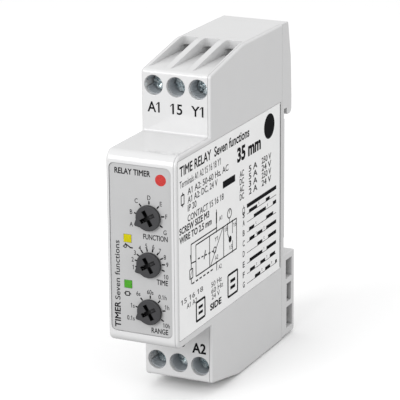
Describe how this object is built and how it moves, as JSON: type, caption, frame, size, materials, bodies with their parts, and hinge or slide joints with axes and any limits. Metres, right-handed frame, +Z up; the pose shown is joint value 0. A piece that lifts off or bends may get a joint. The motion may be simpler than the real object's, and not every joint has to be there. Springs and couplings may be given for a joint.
{
  "type": "din rail timer",
  "caption": "One-module rail-mounted time relay with setting knobs, signal windows, screw terminals in both shoulders and a sprung rail clip.",
  "frame": {"origin": "on the rail seat, at the middle of the width and at the rail's centre line", "axes": "+X to the right seen from the front, +Y back into the rail, +Z up, with the nose towards -Y"},
  "size_m": [0.0176, 0.0681, 0.081],
  "materials": {
    "case_plastic": "light grey polycarbonate, satin moulded",
    "front_label_film": "printed polyester film, light grey",
    "side_label_film": "printed polyester film, near white",
    "clip_plastic": "glass-filled nylon, grey",
    "spring_steel": "drawn spring wire",
    "carrier_plastic": "glass-filled nylon, grey",
    "plated_steel": "zinc-plated steel",
    "tinned_brass": "tinned brass strip",
    "knob_plastic": "dark grey moulded plastic",
    "black_moulding": "black moulding compound",
    "yellow_lens": "translucent yellow polycarbonate",
    "green_lens": "translucent green polycarbonate",
    "lamp_body": "white moulded lamp body with a clear lens",
    "board_laminate": "glass-epoxy laminate with green solder mask",
    "relay_cover_plastic": "moulded relay cover",
    "former_plastic": "moulded coil former",
    "copper_wire": "enamelled copper wire and copper alloy contacts",
    "relay_iron": "nickel-plated soft iron",
    "capacitor_plastic": "moulded capacitor case",
    "capacitor_sleeve": "heat-shrunk sleeve",
    "ferrite": "ferrite core with a wound sleeve",
    "component_lacquer": "dipped lacquer"
  },
  "bodies": {
    "housing": {"housing_shell": "case_plastic", "side_cover": "case_plastic", "front_label": "front_label_film", "side_label": "side_label_film", "clip_spring": "spring_steel", "terminal_carrier_upper": "carrier_plastic", "terminal_carrier_lower": "carrier_plastic", "contact_bar_a1": "tinned_brass", "contact_bar_15": "tinned_brass", "contact_bar_y1": "tinned_brass", "contact_bar_16": "tinned_brass", "contact_bar_18": "tinned_brass", "contact_bar_a2": "tinned_brass", "function_trimmer": "black_moulding", "time_trimmer": "black_moulding", "range_trimmer": "black_moulding", "yellow_window": "yellow_lens", "green_window": "green_lens", "yellow_lamp": "lamp_body", "green_lamp": "lamp_body", "main_board": "board_laminate", "relay_base": "black_moulding", "controller_chip": "black_moulding", "bridge_rectifier": "black_moulding", "relay_cover": "relay_cover_plastic", "relay_former": "former_plastic", "relay_winding": "copper_wire", "relay_open_contact": "copper_wire", "relay_closed_contact": "copper_wire", "relay_yoke": "relay_iron", "film_capacitor": "capacitor_plastic", "filter_capacitor": "capacitor_sleeve", "supply_choke": "ferrite", "varistor": "component_lacquer", "fusible_resistor": "component_lacquer"},
    "rail_clip": {"rail_clip": "clip_plastic"},
    "relay_armature": {"relay_armature": "relay_iron", "relay_moving_contact": "copper_wire"},
    "function_knob": {"function_knob": "knob_plastic"},
    "time_knob": {"time_knob": "knob_plastic"},
    "range_knob": {"range_knob": "knob_plastic"},
    "clamp_cage_a1": {"clamp_cage_a1": "plated_steel"},
    "terminal_screw_a1": {"terminal_screw_a1": "plated_steel"},
    "clamp_cage_15": {"clamp_cage_15": "plated_steel"},
    "terminal_screw_15": {"terminal_screw_15": "plated_steel"},
    "clamp_cage_y1": {"clamp_cage_y1": "plated_steel"},
    "terminal_screw_y1": {"terminal_screw_y1": "plated_steel"},
    "clamp_cage_16": {"clamp_cage_16": "plated_steel"},
    "terminal_screw_16": {"terminal_screw_16": "plated_steel"},
    "clamp_cage_18": {"clamp_cage_18": "plated_steel"},
    "terminal_screw_18": {"terminal_screw_18": "plated_steel"},
    "clamp_cage_a2": {"clamp_cage_a2": "plated_steel"},
    "terminal_screw_a2": {"terminal_screw_a2": "plated_steel"}
  },
  "joints": [
    {"name": "rail_clip_slide", "type": "slide", "parent": "housing", "child": "rail_clip", "axis": [0, 0, -1], "range_m": [0, 0.003], "stiffness_N_per_m": 60, "springref_m": -0.02, "deforming": ["clip_spring"]},
    {"name": "function_knob_turn", "type": "hinge", "parent": "housing", "child": "function_knob", "pos_m": [0.0019, -0.0619, 0.0067], "axis": [0, 1, 0], "range_deg": [0, 240]},
    {"name": "time_knob_turn", "type": "hinge", "parent": "housing", "child": "time_knob", "pos_m": [0.0019, -0.0619, -0.0044], "axis": [0, 1, 0], "range_deg": [0, 240]},
    {"name": "range_knob_turn", "type": "hinge", "parent": "housing", "child": "range_knob", "pos_m": [0.0019, -0.0619, -0.0156], "axis": [0, 1, 0], "range_deg": [0, 240]},
    {"name": "relay_armature_tilt", "type": "hinge", "parent": "housing", "child": "relay_armature", "pos_m": [0.00085, -0.007, 0.0049], "axis": [1, 0, 0], "range_deg": [0, 3.5], "stiffness_Nm_per_rad": 0.0005, "springref_deg": -57.3},
    {"name": "clamp_a1_rise", "type": "slide", "parent": "housing", "child": "clamp_cage_a1", "axis": [0, -1, 0], "range_m": [0, 0.0035]},
    {"name": "screw_a1_turn", "type": "hinge", "parent": "housing", "child": "terminal_screw_a1", "pos_m": [-0.00562, -0.0389, 0.0323], "axis": [0, 1, 0], "range_deg": [0, 2520]},
    {"name": "clamp_15_rise", "type": "slide", "parent": "housing", "child": "clamp_cage_15", "axis": [0, -1, 0], "range_m": [0, 0.0035]},
    {"name": "screw_15_turn", "type": "hinge", "parent": "housing", "child": "terminal_screw_15", "pos_m": [0, -0.0389, 0.0323], "axis": [0, 1, 0], "range_deg": [0, 2520]},
    {"name": "clamp_y1_rise", "type": "slide", "parent": "housing", "child": "clamp_cage_y1", "axis": [0, -1, 0], "range_m": [0, 0.0035]},
    {"name": "screw_y1_turn", "type": "hinge", "parent": "housing", "child": "terminal_screw_y1", "pos_m": [0.00562, -0.0389, 0.0323], "axis": [0, 1, 0], "range_deg": [0, 2520]},
    {"name": "clamp_16_rise", "type": "slide", "parent": "housing", "child": "clamp_cage_16", "axis": [0, -1, 0], "range_m": [0, 0.0035]},
    {"name": "screw_16_turn", "type": "hinge", "parent": "housing", "child": "terminal_screw_16", "pos_m": [-0.00562, -0.0389, -0.0347], "axis": [0, 1, 0], "range_deg": [0, 2520]},
    {"name": "clamp_18_rise", "type": "slide", "parent": "housing", "child": "clamp_cage_18", "axis": [0, -1, 0], "range_m": [0, 0.0035]},
    {"name": "screw_18_turn", "type": "hinge", "parent": "housing", "child": "terminal_screw_18", "pos_m": [0, -0.0389, -0.0347], "axis": [0, 1, 0], "range_deg": [0, 2520]},
    {"name": "clamp_a2_rise", "type": "slide", "parent": "housing", "child": "clamp_cage_a2", "axis": [0, -1, 0], "range_m": [0, 0.0035]},
    {"name": "screw_a2_turn", "type": "hinge", "parent": "housing", "child": "terminal_screw_a2", "pos_m": [0.00562, -0.0389, -0.0347], "axis": [0, 1, 0], "range_deg": [0, 2520]}
  ],
  "couplings": [
    {"joint": "screw_a1_turn", "follows": "clamp_a1_rise", "rad_per_m": 12566},
    {"joint": "screw_15_turn", "follows": "clamp_15_rise", "rad_per_m": 12566},
    {"joint": "screw_y1_turn", "follows": "clamp_y1_rise", "rad_per_m": 12566},
    {"joint": "screw_16_turn", "follows": "clamp_16_rise", "rad_per_m": 12566},
    {"joint": "screw_18_turn", "follows": "clamp_18_rise", "rad_per_m": 12566},
    {"joint": "screw_a2_turn", "follows": "clamp_a2_rise", "rad_per_m": 12566}
  ]
}
